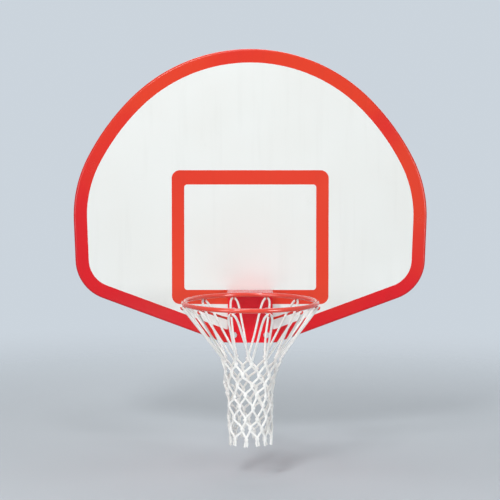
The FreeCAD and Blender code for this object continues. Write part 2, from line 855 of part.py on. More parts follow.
def make_net_mesh():
    """The knotted tube: rows of knots, two cords from each knot to the row below, and tail ends."""
    rows = [knot_row(row) for row in range(int(n.net_rows))]
    count = int(n.hook_count)
    inside = STRAND_START * n.knot_size
    solids = [knot(middle) for row in rows for middle in row]
    for number, (upper, lower) in enumerate(zip(rows, rows[1:])):
        for spot in range(count):
            shift = number % 2
            for neighbour in ((spot - 1 + shift) % count, (spot + shift) % count):
                run = lower[neighbour] - upper[spot]
                run.normalize()
                solids.append(cord(upper[spot] + run * inside, lower[neighbour] - run * inside))
    for middle in rows[-1]:
        outward = Vector(middle.x, middle.y, 0)
        outward.normalize()
        along = outward.cross(Vector(0, 0, 1))
        for side in (-1, 1):
            splay = along * (side * TAIL_SPLAY) + Vector(0, 0, -1)
            splay.normalize()
            drop = n.net_tail / abs(splay.z)
            solids.append(cord(middle + splay * inside, middle + splay * drop))
    add_net_piece("net_mesh", solids[0].fuse(solids[1:]).removeSplitter())


def top_loop(turn):
    """One long loop: up from a first-row knot, over its hook, and down to the next knot."""
    step = math.pi / n.hook_count
    centre = math.radians(turn)
    outward = Vector(math.cos(centre), math.sin(centre), 0)
    along = Vector(-math.sin(centre), math.cos(centre), 0)
    over_wire = (n.hook_wire + n.net_cord) / 2 + n.cord_gap + LOOP_SAG
    ring_radius = (n.ring_bore + n.rod_diameter) / 2
    top_height = -hook_trough().value - n.hook_radius + over_wire
    top = outward * (ring_radius + n.hook_radius) + Vector(0, 0, top_height)
    beside = n.net_cord / 2 + 2 * n.cord_gap
    low = -n.net_first_drop + n.knot_size / 2 + n.net_cord / 3 + n.cord_gap
    reach = n.net_top_radius * math.cos(step) + beside * math.sin(step)
    spread = n.net_top_radius * math.sin(step) - beside * math.cos(step)
    middle_low = outward * reach + Vector(0, 0, low)
    down = middle_low - top
    legs = {}
    for side in (-1, 1):
        legs[side] = [top + down * share + along * (side * half) for share, half in LOOP_FORM]
        legs[side].append(middle_low + along * (side * spread))
    route = Part.BSplineCurve()
    route.buildFromPoles(legs[-1][::-1] + legs[1], False, 3)
    end, before_end = legs[-1][-1], legs[-1][-2]
    profile = Part.Wire(Part.Circle(end, before_end - end, n.net_cord / 2).toShape())
    return Part.Wire(route.toShape()).makePipeShell([profile], True, False)


def make_net_loops():
    """The twelve loops that hang over the hooks."""
    add_net_piece("net_loops", Part.makeCompound([top_loop(turn) for turn in hook_turns()]))


def write_parts():
    """Check every object of the document, then write each sub-part."""
    doc.recompute()
    for item in doc.Objects:
        if "Invalid" in item.State or "Error" in item.State:
            raise RuntimeError(f"{item.Label} failed: {item.State}")
    for part in parts:
        if part.Shape.isNull() or not part.Shape.isValid():
            raise RuntimeError(f"{part.Label} has no valid shape")
    os.makedirs("parts", exist_ok=True)
    for part in parts:
        part.Shape.exportStep(f"parts/{part.Label}.step")
        box = part.Shape.optimalBoundingBox()
        print(f"{part.Label}: {len(part.Shape.Solids)} solids, {part.Shape.Volume / 1000:.1f} cm3, "
              f"{box.XLength:.1f} x {box.YLength:.1f} x {box.ZLength:.1f}")


make_face_panel()
make_mount_rail("left_mount_rail", -1)
make_mount_rail("right_mount_rail", 1)
lower_level, upper_level = mount_levels()
make_cross_channel("upper_cross_channel", upper_level)
make_cross_channel("lower_cross_channel", lower_level)
make_goal_support_channel()
make_goal_backing_plate()
make_goal_plate()
make_ring()
make_braces()
make_net_hooks()
make_fasteners()
make_net_loops()
make_net_mesh()
write_parts()
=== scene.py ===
# %% [markdown]
# A steel playground backboard with a ring goal and a cord net. The construction is already there: a
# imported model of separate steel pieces, in metres, with +Z up, the playing face looking along -Y, and
# the origin in the middle of the four mounting holes at the back. This lesson keeps every steel piece
# where it is, and adds what makes it look real: enamel, the painted border and target, weld beads, and
# a net of braided cord.

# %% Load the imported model
import json
import math
import random

import bmesh
import bpy
from mathutils import Color, Matrix, Vector


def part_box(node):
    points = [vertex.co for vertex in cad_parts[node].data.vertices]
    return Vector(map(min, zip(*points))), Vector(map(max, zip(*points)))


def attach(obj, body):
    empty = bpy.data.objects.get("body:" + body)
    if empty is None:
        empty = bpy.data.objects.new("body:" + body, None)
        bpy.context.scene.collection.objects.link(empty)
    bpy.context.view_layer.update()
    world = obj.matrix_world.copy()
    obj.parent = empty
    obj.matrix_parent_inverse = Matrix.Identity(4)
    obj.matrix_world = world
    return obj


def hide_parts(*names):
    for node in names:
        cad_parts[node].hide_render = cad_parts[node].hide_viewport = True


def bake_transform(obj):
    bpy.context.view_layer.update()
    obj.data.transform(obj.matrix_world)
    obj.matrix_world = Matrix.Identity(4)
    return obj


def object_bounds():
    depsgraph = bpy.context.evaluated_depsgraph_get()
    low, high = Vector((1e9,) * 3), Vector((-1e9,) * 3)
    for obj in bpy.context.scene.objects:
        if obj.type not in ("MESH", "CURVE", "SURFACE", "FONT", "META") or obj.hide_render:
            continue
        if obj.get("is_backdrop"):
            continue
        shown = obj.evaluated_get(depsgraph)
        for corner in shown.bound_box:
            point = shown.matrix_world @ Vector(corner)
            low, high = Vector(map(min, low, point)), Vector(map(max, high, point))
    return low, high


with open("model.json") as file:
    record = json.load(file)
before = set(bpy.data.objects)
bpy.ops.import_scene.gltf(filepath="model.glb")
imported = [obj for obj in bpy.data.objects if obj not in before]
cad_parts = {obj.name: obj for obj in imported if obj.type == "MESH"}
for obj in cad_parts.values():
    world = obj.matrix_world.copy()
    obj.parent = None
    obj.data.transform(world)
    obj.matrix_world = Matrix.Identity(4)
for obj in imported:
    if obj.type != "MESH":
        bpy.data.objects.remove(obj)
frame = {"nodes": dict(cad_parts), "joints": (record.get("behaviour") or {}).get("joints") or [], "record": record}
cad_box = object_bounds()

nodes = frame["nodes"]
swing = next(joint for joint in frame["joints"] if joint["name"] == "net_swing")
ring_middle = Vector(swing["pos_m"])
board_low, board_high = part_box("face_panel")
board_middle = (board_low + board_high) / 2
face_y = board_low.y
print("pieces of steel and net:", len(nodes))
print("board:", [round(1000 * side) for side in board_high - board_low], "mm")

# %% [markdown]
# The camera stands far in front of the board and a little above its middle, and looks slightly down. A
# long lens from far away keeps the outline nearly free of perspective, while the ring, which is close
# to the camera, still shows as a thin ellipse. The sides of the target are upright in the picture, so
# about half of the look downwards is a small shift of the lens, as with a view camera, and the rest is
# a tilt.

# %% Camera
SENSOR_WIDTH = 0.036
FOCAL_PIXELS = 1115
IMAGE_PIXELS = 500
CAMERA_DISTANCE = 4.32
CAMERA_ABOVE_FOOT = 0.69
AIM_ABOVE_FOOT = 0.5175
AIM_ACROSS = -0.0008
LENS_SHIFT = -0.08


def facing(place, target):
    """The turn that points a camera or a lamp from a place at a target."""
    return (Vector(target) - Vector(place)).to_track_quat("-Z", "Y").to_euler()


scene = bpy.context.scene
lens = bpy.data.cameras.new("photo_lens")
lens.sensor_width = 1000 * SENSOR_WIDTH
lens.lens = lens.sensor_width * FOCAL_PIXELS / IMAGE_PIXELS
lens.shift_y = LENS_SHIFT
camera = bpy.data.objects.new("photo_camera", lens)
scene.collection.objects.link(camera)
scene.camera = camera
camera.location = (AIM_ACROSS, face_y - CAMERA_DISTANCE, board_low.z + CAMERA_ABOVE_FOOT)
camera.rotation_euler = facing(camera.location, (AIM_ACROSS, face_y, board_low.z + AIM_ABOVE_FOOT))
tilt = 90 - math.degrees(camera.rotation_euler.x)
print("lens:", round(lens.lens, 1), "mm, tilt:", round(tilt, 2), "degrees down")

# %% [markdown]
# Gloss enamel mirrors its lamps, so a lamp straight in front of the board would leave a white patch on
# it. Two side lamps light the face from far enough out that their mirror images fall beside the board,
# the left one a little warm and the right one a little cool. A key lamp at the upper left and a small
# one overhead draw the highlights along the bent bar. A large lamp lights the frame at the back, one
# above the board brings out its upper edge, and a small narrow one near the floor keeps the net white.
# The lamps are hidden from the camera, so that none of them shows in a view from behind.

# %% Lamps
NEUTRAL = (1, 1, 1)
WARM = (1, 0.985, 0.955)
COOL = (0.95, 0.98, 1)
WIDE = math.radians(180)
NARROW = math.radians(60)
NET_BELOW_RING = 0.25


def add_lamp(name, place, target, size, power, colour=NEUTRAL, spread=WIDE):
    """A square lamp of a size in metres and a power in watts, pointed at a target."""
    light = bpy.data.lights.new(name, "AREA")
    light.size = size
    light.energy = power
    light.color = colour
    light.spread = spread
    lamp = bpy.data.objects.new(name, light)
    lamp.location = place
    lamp.rotation_euler = facing(place, target)
    lamp.visible_camera = False
    scene.collection.objects.link(lamp)


net_middle = ring_middle - Vector((0, 0, NET_BELOW_RING))
add_lamp("key_lamp", (-1.3, -3.4, 2.5), board_middle, size=1.0, power=74)
add_lamp("left_lamp", (-3.4, -4.4, 0.3), board_middle, size=1.6, power=66, colour=WARM)
add_lamp("right_lamp", (3.4, -4.4, 0.3), board_middle, size=1.6, power=116, colour=COOL)
add_lamp("top_lamp", (-0.3, -1.3, 2.2), ring_middle, size=0.5, power=7)
add_lamp("back_lamp", (0.6, 4.0, 1.3), board_middle, size=4.0, power=95)
add_lamp("rim_lamp", (0.0, 0.6, 2.3), board_middle, size=1.8, power=22)
add_lamp("net_lamp", (-0.6, -1.5, -0.86), net_middle, size=0.4, power=0.3, spread=NARROW)

# %% [markdown]
# A dim white world fills the shadows. The camera sees a plain pale colour behind the board instead, and
# so do mirror and glass rays. Rays that light a matt surface don't see it, so the backdrop shows in the
# gloss of the paint and adds no other light.

# %% World
WORLD_LIGHT = 0.11
WORLD_COLOUR = (1, 1, 1, 1)
BACKDROP = (0.60, 0.66, 0.72, 1)


def add_node(tree, kind, inputs=None, **settings):
    """Add a node, set its options, and set or link its inputs by name or number."""
    item = tree.nodes.new(kind)
    for name, value in settings.items():
        setattr(item, name, value)
    for key, value in (inputs or {}).items():
        if isinstance(value, bpy.types.NodeSocket):
            tree.links.new(value, item.inputs[key])
        else:
            item.inputs[key].default_value = value
    return item


def calculate(tree, operation, *values):
    """The result of a Math node whose values are numbers or sockets."""
    return add_node(tree, "ShaderNodeMath", dict(enumerate(values)), operation=operation).outputs[0]


def seen_directly(tree):
    """1 for rays from the camera, a mirror or glass, and 0 for rays that light a matt surface."""
    path = add_node(tree, "ShaderNodeLightPath")
    either = calculate(tree, "MAXIMUM", path.outputs["Is Camera Ray"], path.outputs["Is Glossy Ray"])
    return calculate(tree, "MAXIMUM", either, path.outputs["Is Transmission Ray"])


world = bpy.data.worlds.new("studio")
world.use_nodes = True
scene.world = world
tree = world.node_tree
tree.nodes.clear()
lit = add_node(tree, "ShaderNodeBackground", {"Color": WORLD_COLOUR, "Strength": WORLD_LIGHT})
shown = add_node(tree, "ShaderNodeBackground", {"Color": BACKDROP, "Strength": 1})
direct = seen_directly(tree)
mixed = add_node(tree, "ShaderNodeMixShader", {0: direct, 1: lit.outputs[0], 2: shown.outputs[0]})
add_node(tree, "ShaderNodeOutputWorld", {"Surface": mixed.outputs[0]})
scene.view_settings.view_transform = "Standard"
print("world:", len(tree.nodes), "nodes, light", WORLD_LIGHT)

# %% [markdown]
# The floor is a plain pale disc a little below the net, and it catches the soft shadow of the ring. One
# filled circle is enough, because nothing on it stands up.

# %% Floor: a disc
FLOOR_DROP = 0.12
FLOOR_RADIUS = 7.0
FLOOR_CORNERS = 64
floor_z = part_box("net_mesh")[0].z - FLOOR_DROP
floor_shape = bmesh.new()
bmesh.ops.create_circle(floor_shape, cap_ends=True, segments=FLOOR_CORNERS, radius=FLOOR_RADIUS)
bmesh.ops.translate(floor_shape, verts=floor_shape.verts, vec=(0, 0, floor_z))
floor_mesh = bpy.data.meshes.new("floor")
floor_shape.to_mesh(floor_mesh)
floor_shape.free()
floor = bpy.data.objects.new("floor", floor_mesh)
scene.collection.objects.link(floor)
floor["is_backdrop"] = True
print("floor at", round(floor_z, 3), "m")

# %% [markdown]
# The paint of the floor thins out with distance, so that no horizon line cuts through the picture. From
# below it is clear, so that the underside of the goal can be looked at as well. A mix of a matt and a
# clear shader does both.

# %% Floor: paint that thins out
FLOOR_SOLID = 0.3
FLOOR_FADED = 3.6
FLOOR_COLOUR = (0.62, 0.665, 0.71, 1)
LEVEL_ONLY = (1, 1, 0)


def new_material(name):
    """A material with an empty node tree."""
    material = bpy.data.materials.new(name)
    material.use_nodes = True
    material.node_tree.nodes.clear()
    return material


def object_place(tree):
    """The place on the piece in metres, which is where patterns are laid out."""
    return add_node(tree, "ShaderNodeTexCoord").outputs["Object"]


def ramp(tree, value, low, high):
    """Stretch a value so that low becomes 0 and high becomes 1, with soft ends."""
    limits = {0: value, 1: low, 2: high}
    return add_node(tree, "ShaderNodeMapRange", limits, interpolation_type="SMOOTHSTEP").outputs[0]


floor_paint = new_material("pale_floor")
tree = floor_paint.node_tree
matt = add_node(tree, "ShaderNodeBsdfDiffuse", {"Color": FLOOR_COLOUR})
clear = add_node(tree, "ShaderNodeBsdfTransparent")
place = object_place(tree)
level = add_node(tree, "ShaderNodeVectorMath", {0: place, 1: LEVEL_ONLY}, operation="MULTIPLY")
reach = add_node(tree, "ShaderNodeVectorMath", {0: level.outputs[0]}, operation="LENGTH").outputs["Value"]
under = add_node(tree, "ShaderNodeNewGeometry").outputs["Backfacing"]
gone = calculate(tree, "MAXIMUM", ramp(tree, reach, FLOOR_SOLID, FLOOR_FADED), under)
both = add_node(tree, "ShaderNodeMixShader", {0: gone, 1: matt.outputs[0], 2: clear.outputs[0]})
add_node(tree, "ShaderNodeOutputMaterial", {"Surface": both.outputs[0]})
floor_mesh.materials.append(floor_paint)
print(f"{floor_paint.name}: {len(tree.nodes)} nodes")

# %% [markdown]
# Sprayed enamel is never quite flat. It has an orange-peel ripple a few millimetres wide, rain leaves
# faint upright streaks, years of balls leave dull scuffs, and the colour fades unevenly. Where a
# material asks for it, the fade also grows towards the top: sun fading together with a painted lighter
# top that stands in for light from above. All painted pieces share these, so they are one node group
# with its own numbers in each material. The group gives masks and a height, and each material decides
# what colour they take.

# %% Weathering group
PEEL_SCALE = 420
GRIT_SCALE = 260
FADE_SCALE = 2.4
STREAK_STRETCH = (34, 34, 2.2)
GRIT_LIMITS = (0.42, 0.62)
STREAK_LIMITS = (0.52, 0.74)
FADE_LIMITS = (0.3, 0.7)
SCUFF_EDGE = 0.16
SCUFF_ROUGHNESS = 0.65
SCUFF_HEIGHT = -0.6


def new_group(name, inputs, outputs):
    """Start a shader node group with float sockets; return it with its input and output nodes."""
    group = bpy.data.node_groups.new(name, "ShaderNodeTree")
    for title, value in inputs.items():
        socket = group.interface.new_socket(title, in_out="INPUT", socket_type="NodeSocketFloat")
        socket.default_value = value
    for title in outputs:
        group.interface.new_socket(title, in_out="OUTPUT", socket_type="NodeSocketFloat")
    return group, group.nodes.new("NodeGroupInput"), group.nodes.new("NodeGroupOutput")


def noise(tree, place, scale, detail, roughness=0.5):
    """Cloudy noise between 0 and 1."""
    settings = {"Vector": place, "Scale": scale, "Detail": detail, "Roughness": roughness}
    return add_node(tree, "ShaderNodeTexNoise", settings).outputs["Fac"]


weathering, given, made = new_group(
    "weathering",
    inputs={"Scuff Scale": 7.0, "Scuff Reach": 0.6, "Sun And Lit Top": 0.0},
    outputs=("Scuffs", "Streaks", "Fading And Lit Top", "Height"))
tree = weathering
place = object_place(tree)
peel = noise(tree, place, PEEL_SCALE, detail=1.0)
patches = noise(tree, place, given.outputs["Scuff Scale"], detail=5.0, roughness=SCUFF_ROUGHNESS)
grit = noise(tree, place, GRIT_SCALE, detail=3.0)
edge = calculate(tree, "ADD", given.outputs["Scuff Reach"], SCUFF_EDGE)
worn = add_node(tree, "ShaderNodeMapRange", {0: patches, 1: given.outputs["Scuff Reach"], 2: edge})
scuffs = calculate(tree, "MULTIPLY", worn.outputs[0], ramp(tree, grit, *GRIT_LIMITS))
stretched = add_node(tree, "ShaderNodeMapping", {"Vector": place, "Scale": STREAK_STRETCH})
runs = noise(tree, stretched.outputs[0], 1.0, detail=3.0)
broad = noise(tree, place, FADE_SCALE, detail=2.0)
up = add_node(tree, "ShaderNodeSeparateXYZ", {0: place}).outputs["Z"]
# higher up the fade grows: sun fading, and a painted lighter top for light from above
fade_towards_lit_top = calculate(tree, "MULTIPLY_ADD", up, given.outputs["Sun And Lit Top"], broad)
height = calculate(tree, "ADD", peel, calculate(tree, "MULTIPLY", scuffs, SCUFF_HEIGHT))
tree.links.new(scuffs, made.inputs["Scuffs"])
tree.links.new(ramp(tree, runs, *STREAK_LIMITS), made.inputs["Streaks"])
tree.links.new(ramp(tree, fade_towards_lit_top, *FADE_LIMITS), made.inputs["Fading And Lit Top"])
tree.links.new(height, made.inputs["Height"])
print("weathering group:", len(tree.nodes), "nodes")

# %% [markdown]
# One function makes every enamel. The paint fades unevenly between two colours, and on the border the
# second colour also grows towards the top, partly as a painted lighter top. Dirt darkens the streaks
# and the scuffs, a scuff is also duller, and a bump carries the orange peel. The shine and the clear
# coat are plain numbers on the shader itself. Colours are written as they would be picked on screen,
# and turned into the linear values that light needs.

# %% Enamel
SCUFF_DULLING = 0.3
PEEL_STRENGTH = 0.12
PEEL_DEPTH = 0.0004
COAT_ROUGHNESS = 0.12


def screen(red, green, blue):
    """A colour picked on screen, 0 to 255, as linear light."""
    picked = Color((red / 255, green / 255, blue / 255))
    return (*picked.from_srgb_to_scene_linear(), 1)


def blend_colour(tree, share, first, second):
    """A mix of two colours, with share 0 for the first and 1 for the second."""
    return add_node(tree, "ShaderNodeMix", {0: share, 6: first, 7: second}, data_type="RGBA").outputs[2]


def between(tree, share, low, high):
    """A value that goes from low to high as the share goes from 0 to 1."""
    return add_node(tree, "ShaderNodeMapRange", {0: share, 3: low, 4: high}).outputs[0]


def enamel(name, colour, faded_and_lit, dirt, rough, shine, coat,
           scuff_scale, scuff_reach, streak_share, scuff_share, sun_and_lit_top=0.0):
    """Gloss paint on steel with its own roughness, shine, clear coat, fading, streaks and scuffs."""
    material = new_material(name)
    tree = material.node_tree
    wear = add_node(
        tree, "ShaderNodeGroup", {"Scuff Scale": scuff_scale, "Scuff Reach": scuff_reach, "Sun And Lit Top": sun_and_lit_top},
        node_tree=weathering).outputs
    # the second colour, which towards the top of the border is partly a painted lighter top
    base = blend_colour(tree, wear["Fading And Lit Top"], colour, faded_and_lit)
    streaked = blend_colour(tree, calculate(tree, "MULTIPLY", wear["Streaks"], streak_share), base, dirt)
    scuffed = blend_colour(tree, calculate(tree, "MULTIPLY", wear["Scuffs"], scuff_share), streaked, dirt)
    dulled = between(tree, wear["Scuffs"], rough, rough + SCUFF_DULLING)
    bump = add_node(tree, "ShaderNodeBump", {
        "Strength": PEEL_STRENGTH, "Distance": PEEL_DEPTH, "Height": wear["Height"]})
    paint = add_node(tree, "ShaderNodeBsdfPrincipled", {
        "Base Color": scuffed, "Roughness": dulled, "Normal": bump.outputs["Normal"],
        "Specular IOR Level": shine, "Coat Weight": coat, "Coat Roughness": COAT_ROUGHNESS})
    add_node(tree, "ShaderNodeOutputMaterial", {"Surface": paint.outputs["BSDF"]})
    print(f"{name}: {len(tree.nodes)} nodes")
    return material


print("the middle grey of a screen is", round(screen(128, 128, 128)[0], 3), "as linear light")

# %% [markdown]
# Five enamels cover the steel. The white of the board gathers grey streaks and dark scuffs. The red of
# the border turns more orange towards its top, sun fading together with a painted lighter top for the
# light from above, and the target is a shade more orange all over. On the goal, plate and bent bar are
# one paint in two copies: the plate's deeper red is painted shade, and the bar's orange, with more
# shine, is the lit copy.

# %% Five enamels
GRIME = screen(150, 146, 138)
RUST_BROWN = screen(120, 52, 34)
white_enamel = enamel(
    "white_enamel", screen(237, 240, 238), screen(234, 236, 233), GRIME,
    rough=0.34, shine=0.25, coat=0.06,
    scuff_scale=6.0, scuff_reach=0.62, streak_share=0.03, scuff_share=0.12)
# the border grows more orange towards its top: sun fading and a painted lighter top
border_enamel = enamel(
    "border_enamel", screen(221, 20, 32), screen(226, 59, 31), RUST_BROWN,
    rough=0.26, shine=0.36, coat=0.02,
    scuff_scale=9.0, scuff_reach=0.64, streak_share=0.04, scuff_share=0.15, sun_and_lit_top=0.35)
target_enamel = enamel(
    "target_enamel", screen(226, 60, 42), screen(229, 70, 47), RUST_BROWN,
    rough=0.34, shine=0.20, coat=0.06,
    scuff_scale=9.0, scuff_reach=0.64, streak_share=0.04, scuff_share=0.15)
# the plate's deeper red is painted shade: a darker copy of the bars' paint
shaded_plate_enamel = enamel(
    "shaded_plate_enamel", screen(234, 20, 40), screen(238, 28, 44), RUST_BROWN,
    rough=0.20, shine=0.30, coat=0.15,
    scuff_scale=30.0, scuff_reach=0.64, streak_share=0.03, scuff_share=0.25)
# the bars' orange is the lit copy of the plate's paint, with more shine
lit_ring_enamel = enamel(
    "lit_ring_enamel", screen(230, 54, 30), screen(234, 66, 36), RUST_BROWN,
    rough=0.20, shine=0.50, coat=0.70,
    scuff_scale=34.0, scuff_reach=0.64, streak_share=0.03, scuff_share=0.25)

# %% [markdown]
# Bolts, washers and nuts are zinc plated: a bright metal with a faint cloud on it, and a duller film
# where rain has stood. The cloud moves both the tone and the roughness, and a fine grain gives a slight
# bump.

# %% Zinc
CLOUD_SCALE = 180
CLOUD_LIMITS = (0.35, 0.7)
GRAIN_SCALE = 700
GRAIN_STRENGTH = 0.15
GRAIN_DEPTH = 0.0002
BRIGHT_ROUGHNESS = 0.22
DULL_ROUGHNESS = 0.5
ZINC_METAL = 0.7
zinc = new_material("zinc_plate")
tree = zinc.node_tree
place = object_place(tree)
cloud = noise(tree, place, CLOUD_SCALE, detail=4.0)
grain = add_node(tree, "ShaderNodeTexVoronoi", {"Vector": place, "Scale": GRAIN_SCALE})
tone = blend_colour(tree, ramp(tree, cloud, *CLOUD_LIMITS), screen(232, 233, 235), screen(212, 213, 213))
dull = between(tree, cloud, BRIGHT_ROUGHNESS, DULL_ROUGHNESS)
bump = add_node(tree, "ShaderNodeBump", {
    "Strength": GRAIN_STRENGTH, "Distance": GRAIN_DEPTH, "Height": grain.outputs["Distance"]})
plating = add_node(tree, "ShaderNodeBsdfPrincipled", {
    "Base Color": tone, "Metallic": ZINC_METAL, "Roughness": dull, "Normal": bump.outputs["Normal"]})
add_node(tree, "ShaderNodeOutputMaterial", {"Surface": plating.outputs["BSDF"]})
print(f"{zinc.name}: {len(tree.nodes)} nodes")

# %% [markdown]
# The record of the construction says which finish each steel piece has, so the paint is looked up there
# and no piece is forgotten. The plate of the goal counts as orange in the record, like the bars that
# are welded to it, and gets a deeper red afterwards: painted shade, a darker copy of the same paint.

# %% Paint the steel pieces
FINISHES = {"white_enamel": white_enamel, "orange_enamel": lit_ring_enamel, "zinc": zinc}
for part in frame["record"]["subparts"]:
    finish = FINISHES.get(part["material_slot"])
    if finish:
        nodes[part["node"]].data.materials.clear()
        nodes[part["node"]].data.materials.append(finish)
# the plate takes the darker copy of its paint, which is painted shade
nodes["goal_plate"].data.materials[0] = shaded_plate_enamel
print("finishes:", sorted(FINISHES))

# %% [markdown]
# Every new piece is finished in the same way. Its bmesh becomes a mesh, the mesh gets its material, and
# the piece is told which body it rides on. Smooth shading with an angle keeps round forms soft and real
# edges crisp, and paint gets its thickness from a Solidify modifier.

# %% Helpers for new pieces
PAINT_THICKNESS = 0.0002


def finish_piece(name, shape, material, body="board"):
    """Turn a bmesh into a piece that rides on a body, with its finish."""
    mesh = bpy.data.meshes.new(name)
    shape.to_mesh(mesh)
    shape.free()
    piece = bpy.data.objects.new(name, mesh)
    scene.collection.objects.link(piece)
    mesh.materials.append(material)
    if body:
        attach(piece, body)
    print(f"{name}: {len(mesh.polygons)} faces")
    return piece


def smooth_by_angle(piece, degrees):
    """Shade smooth, and keep open edges, and edges sharper than the angle, crisp."""
    for face in piece.data.polygons:
        face.use_smooth = True
    piece.data.set_sharp_from_angle(angle=math.radians(degrees))
    uses = [0] * len(piece.data.edges)
    for corner in piece.data.loops:
        uses[corner.edge_index] += 1
    for edge, count in zip(piece.data.edges, uses):
        edge.use_edge_sharp = edge.use_edge_sharp or count == 1


def thicken_paint(piece, side):
    """Give a skin of paint its thickness: 1 is outwards from its faces, -1 is inwards."""
    skin = piece.modifiers.new("paint_thickness", "SOLIDIFY")
    skin.thickness = PAINT_THICKNESS
    skin.offset = side


print("paint:", round(1000 * PAINT_THICKNESS, 2), "mm thick")

# %% [markdown]
# The red border is sprayed over the pan's rolled edge: a band on the flat face, then round the edge and
# down the outside of the rim. Paint is a skin, so the border is made from the pan's own surface. In a
# merged copy of the pan, the faces that look outwards from the middle of the board are the edge and the
# rim. All the others go: the flat face, the inside, and the walls of the bolt holes.

# %% Painted border: the outer skin of the pan
MERGE_DISTANCE = 1e-6
EDGE_REACH = 0.012
OUTWARD_SHARE = 0.02
border = bmesh.new()
border.from_mesh(nodes["face_panel"].data)
bmesh.ops.remove_doubles(border, verts=border.verts, dist=MERGE_DISTANCE)
border.normal_update()
plate_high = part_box("goal_plate")[1]
other_faces = []
for face in border.faces:
    centre = face.calc_center_median()
    above = centre.z - board_middle.z
    outward = face.normal.x * centre.x + face.normal.z * above
    bolt_hole = abs(centre.x) < plate_high.x and board_low.z + EDGE_REACH < centre.z < plate_high.z
    if bolt_hole or outward < OUTWARD_SHARE * math.hypot(centre.x, above):
        other_faces.append(face)
bmesh.ops.delete(border, geom=other_faces, context="FACES")
print("faces of edge and rim:", len(border.faces), "faces left out:", len(other_faces))

# %% [markdown]
# The loop where the face goes flat is filled, and an inset of that one big face leaves a band of even
# width all round. A first, very narrow inset holds the curve's shading at the edge, so that the band
# itself looks flat. What is left of the big face is then deleted, and thickness comes last.

# %% Painted border: a band of even width
BORDER_WIDTH = 0.053
HOLDING_STRIP = 0.0006
FLAT_SLACK = 0.00005
BORDER_CRISP = 30
front_loop = [edge for edge in border.edges
              if edge.is_boundary and all(vert.co.y < face_y + FLAT_SLACK for vert in edge.verts)]
sheet = bmesh.ops.edgeloop_fill(border, edges=front_loop)["faces"]
rim_half = max(vert.co.x for vert in border.verts)
flat_half = max(vert.co.x for edge in front_loop for vert in edge.verts)
edge_depth = rim_half - flat_half
for width in (HOLDING_STRIP, BORDER_WIDTH - edge_depth - HOLDING_STRIP):
    bmesh.ops.inset_region(border, faces=sheet, thickness=width, use_even_offset=True, use_boundary=True)
bmesh.ops.delete(border, geom=sheet, context="FACES")
bmesh.ops.recalc_face_normals(border, faces=border.faces)
open_edges = sum(edge.is_boundary for edge in border.edges)
print("rolled edge:", round(1000 * edge_depth, 1), "mm, open edges:", open_edges)
painted_border = finish_piece("painted_border", border, border_enamel)
thicken_paint(painted_border, side=1)
smooth_by_angle(painted_border, BORDER_CRISP)

# %% [markdown]
# The target is a painted frame with rounded corners above the ring. Its sides are narrower than its top
# and base strips. Two rounded rectangles, one inside the other, are bridged into the frame, because a
# bridge needs no list of faces.

# %% Painted target
TARGET_WIDTH = 0.6087
TARGET_HEIGHT = 0.5208
TARGET_ABOVE_FOOT = 0.151
SIDE_STRIP = 0.0484
LEVEL_STRIP = 0.0554
OUTER_CORNER = 0.032
INNER_CORNER = 0.012
CORNER_STEPS = 8


def rounded_rectangle(shape, width, height, corner, middle):
    """Draw a small upright circle and push its four quarters apart; return the edges of the outline."""
    segments = 4 * CORNER_STEPS
    verts = bmesh.ops.create_circle(shape, cap_ends=False, segments=segments, radius=corner)["verts"]
    bmesh.ops.rotate(shape, verts=verts, matrix=Matrix.Rotation(math.pi / segments, 3, "Z"))
    for vert in verts:
        across = vert.co.x + math.copysign(width / 2 - corner, vert.co.x)
        up = vert.co.y + math.copysign(height / 2 - corner, vert.co.y)
        vert.co = middle + Vector((across, 0, up))
    return list({edge for vert in verts for edge in vert.link_edges})


target = bmesh.new()
target_z = board_low.z + TARGET_ABOVE_FOOT + TARGET_HEIGHT / 2
target_middle = Vector((0, face_y - PAINT_THICKNESS, target_z))
inner_width = TARGET_WIDTH - 2 * SIDE_STRIP
inner_height = TARGET_HEIGHT - 2 * LEVEL_STRIP
outer_edges = rounded_rectangle(target, TARGET_WIDTH, TARGET_HEIGHT, OUTER_CORNER, target_middle)
inner_edges = rounded_rectangle(target, inner_width, inner_height, INNER_CORNER, target_middle)
bmesh.ops.bridge_loops(target, edges=outer_edges + inner_edges)
target.normal_update()
to_the_back = [face for face in target.faces if face.normal.y > 0]
bmesh.ops.reverse_faces(target, faces=to_the_back)
painted_target = finish_piece("painted_target", target, target_enamel)
thicken_paint(painted_target, side=-1)

# %% [markdown]
# The goal is one weldment, so there is a bead wherever bar meets plate or bar. A bead is a chain of
# small overlapping pools of metal. A round profile is spun along the joint, and its radius swells and
# shrinks in steps of a few millimetres, which leaves the ripples of a hand-laid weld.

# %% Weld beads: one bead
RIPPLE_LENGTH = 0.0034
RIPPLE_DEPTH = 0.22
RIPPLE_STEPS = 4
FEWEST_STEPS = 12
PROFILE_SIDES = 8
FULL_TURN = 2 * math.pi


